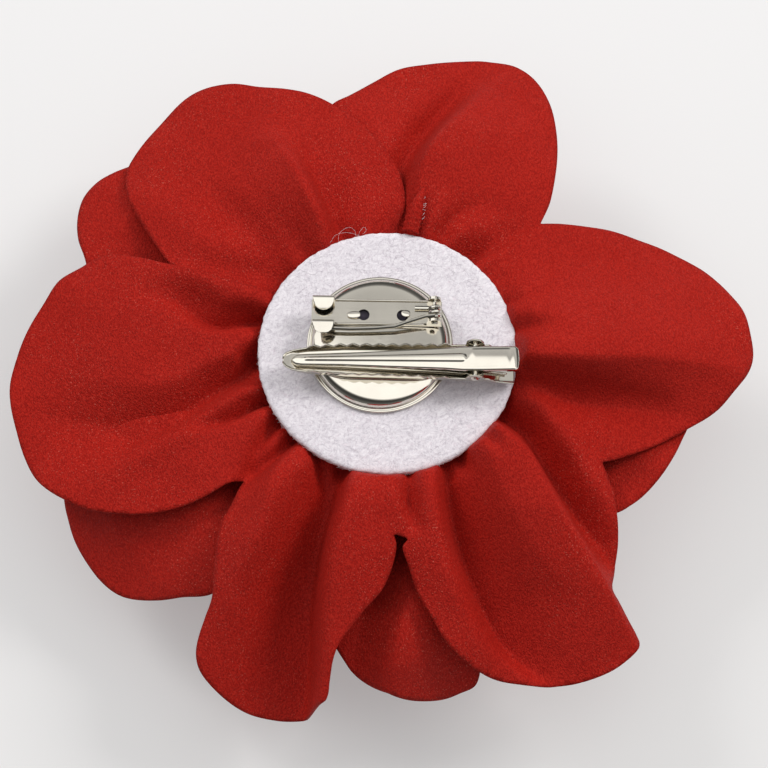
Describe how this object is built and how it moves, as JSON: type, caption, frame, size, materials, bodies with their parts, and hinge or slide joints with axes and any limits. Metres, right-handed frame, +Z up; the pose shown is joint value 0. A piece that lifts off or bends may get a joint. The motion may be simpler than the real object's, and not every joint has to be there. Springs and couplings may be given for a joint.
{
  "type": "fabric flower hair clip with brooch pin",
  "caption": "Gathered fabric flower on a felt backing with a metal pad that carries a sprung alligator hair clip and a brooch pin.",
  "frame": {"origin": "centre of the footprint on the surface the flower lies on face down", "axes": "+Z up through the felt back to the clip, +X along the clip from its jaw tip to its finger tail, +Y across the clip towards the brooch bar"},
  "size_m": [0.1456, 0.1392, 0.0415],
  "materials": {
    "red_crepe": "matte crinkled crepe",
    "white_felt": "matte felt",
    "red_thread": "matte thread",
    "glue": "milky hot-melt",
    "stiff_board": "matte fibre board",
    "nickel": "satin nickel plate",
    "spring_steel": "drawn wire, plated"
  },
  "bodies": {
    "flower": {"petals_back": "red_crepe", "petals_second": "red_crepe", "petals_third": "red_crepe", "petals_inner": "red_crepe", "bud": "red_crepe", "felt_backing": "white_felt", "felt_glue": "glue", "front_glue": "glue", "pad_glue": "glue", "gathering_thread_back": "red_thread", "gathering_thread_second": "red_thread", "gathering_thread_front": "red_thread", "stiffener_disc": "stiff_board", "mounting_pad": "nickel", "brooch_bar": "nickel", "clip_lower_jaw": "nickel", "brooch_hinge_rivet": "spring_steel", "clip_pivot_pin": "spring_steel", "clip_spring": "spring_steel"},
    "clip_jaw": {"clip_upper_jaw": "nickel"},
    "needle": {"brooch_needle": "spring_steel"}
  },
  "joints": [
    {"name": "clip_pivot", "type": "hinge", "parent": "flower", "child": "clip_jaw", "pos_m": [0.01788, -0.00209, 0.0392], "axis": [0.0175, 0.9998, 0], "range_deg": [0, 28], "stiffness_Nm_per_rad": 0.03, "springref_deg": -40.11, "deforming": ["clip_spring"]},
    {"name": "brooch_needle_hinge", "type": "hinge", "parent": "flower", "child": "needle", "pos_m": [0.01026, 0.00812, 0.039], "axis": [0.0175, 0.9998, 0], "range_deg": [0, 100]}
  ]
}
